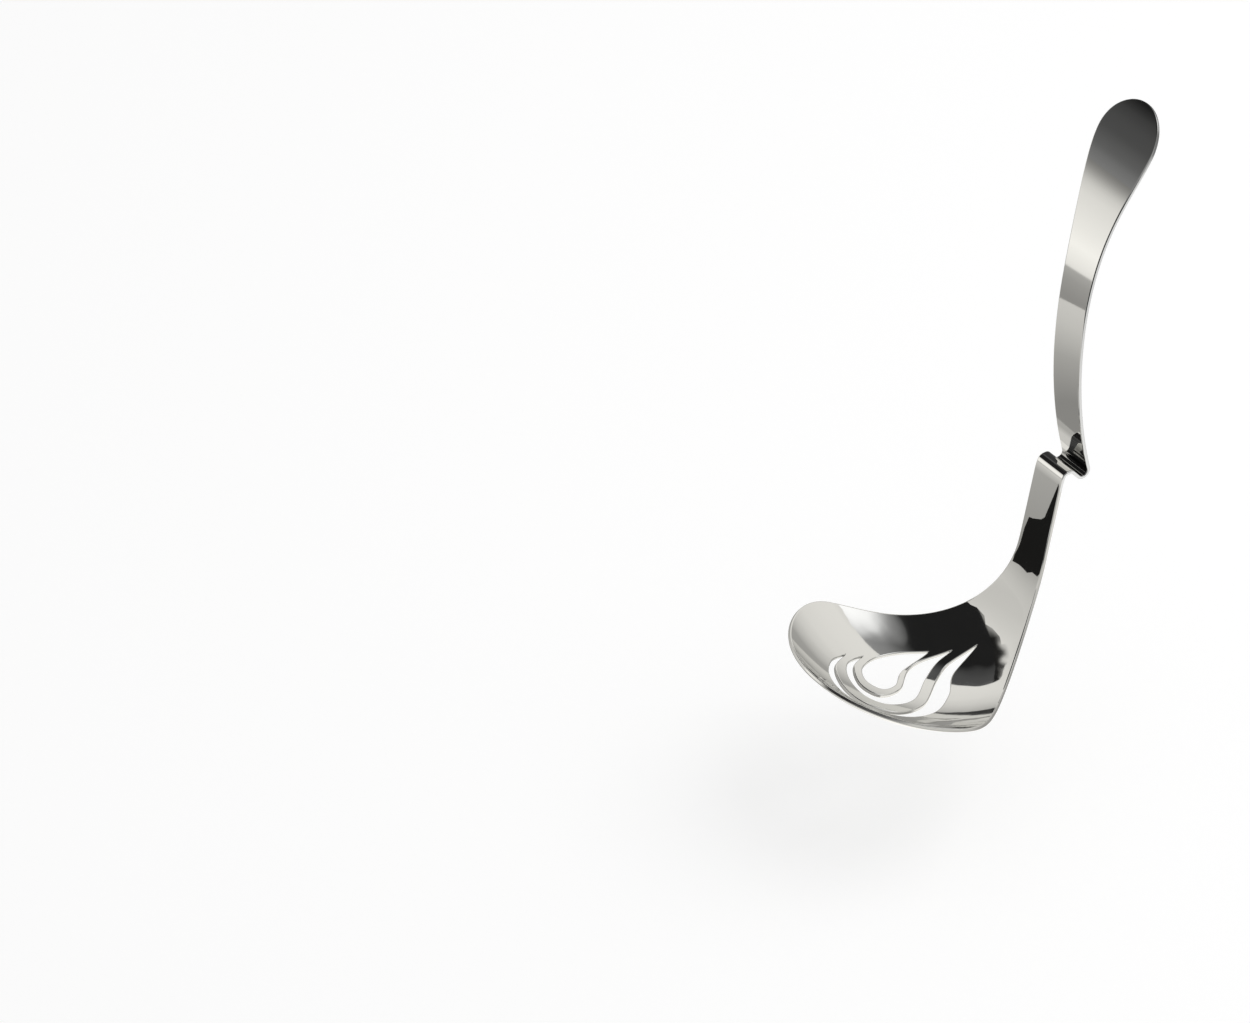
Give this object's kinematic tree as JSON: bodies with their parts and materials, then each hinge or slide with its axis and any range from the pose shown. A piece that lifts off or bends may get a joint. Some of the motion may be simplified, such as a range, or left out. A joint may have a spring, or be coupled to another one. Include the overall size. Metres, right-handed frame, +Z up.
{
  "type": "slotted ladle",
  "caption": "Polished steel serving ladle with a paddle-ended handle, a hook bent into it that hangs on a bowl's rim, and a drop-shaped scoop with nested drain slots.",
  "frame": {"origin": "middle of the small flat under the hook's ridge, where the bowl's rim touches", "axes": "+Z up along the hanging ladle, +Y out of the bowl, X along the rim; the scoop hangs towards -Y"},
  "size_m": [0.0878, 0.1357, 0.2049],
  "materials": {
    "steel": "mirror-polished stainless steel"
  },
  "bodies": {
    "root": {"handle": "steel", "neck_weld": "steel", "slotted_scoop": "steel"}
  },
  "joints": []
}
